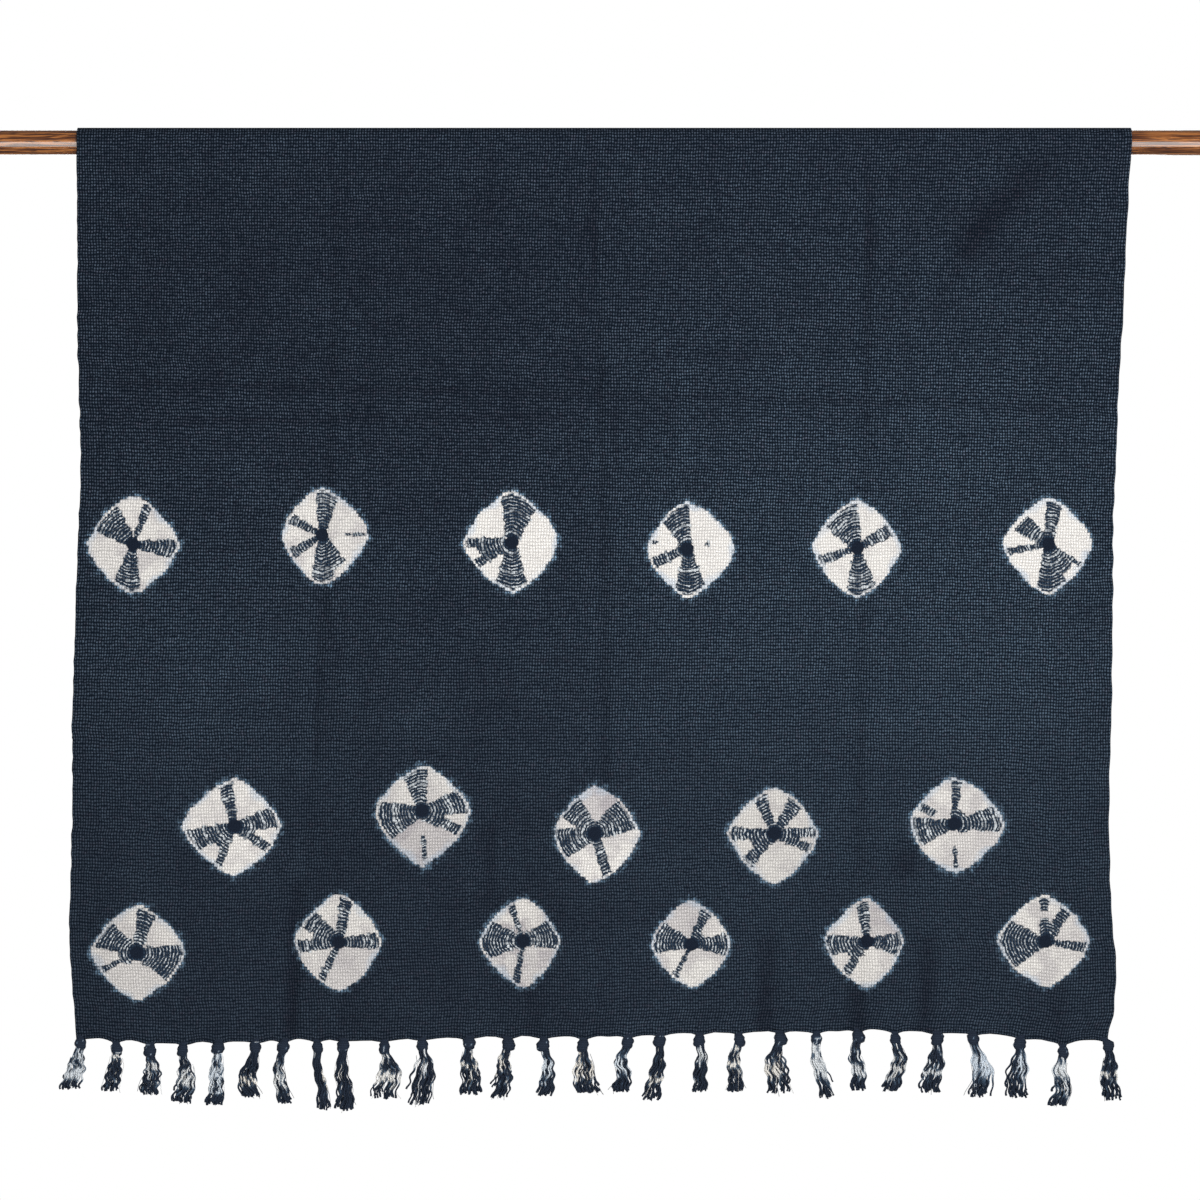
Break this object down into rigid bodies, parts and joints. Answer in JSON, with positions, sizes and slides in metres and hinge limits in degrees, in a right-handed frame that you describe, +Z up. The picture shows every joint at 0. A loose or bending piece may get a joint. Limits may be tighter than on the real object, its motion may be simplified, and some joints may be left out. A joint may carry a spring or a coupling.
{
  "type": "tie-dye throw blanket with its rod",
  "caption": "Woven navy tie-dye throw with knotted fringe, hanging over a round wooden rod.",
  "frame": {"origin": "the middle of the rod's axis", "axes": "+X along the rod, +Z up, and the throw's long front drop faces -Y"},
  "size_m": [1.6, 0.0638, 1.1859],
  "materials": {
    "rod_wood": "varnished, satin",
    "throw_cloth": "matte woven cotton",
    "fringe_yarn": "matte cotton yarn"
  },
  "bodies": {
    "root": {"rod": "rod_wood", "throw": "throw_cloth", "fringe_front": "fringe_yarn", "fringe_back": "fringe_yarn"}
  },
  "joints": []
}
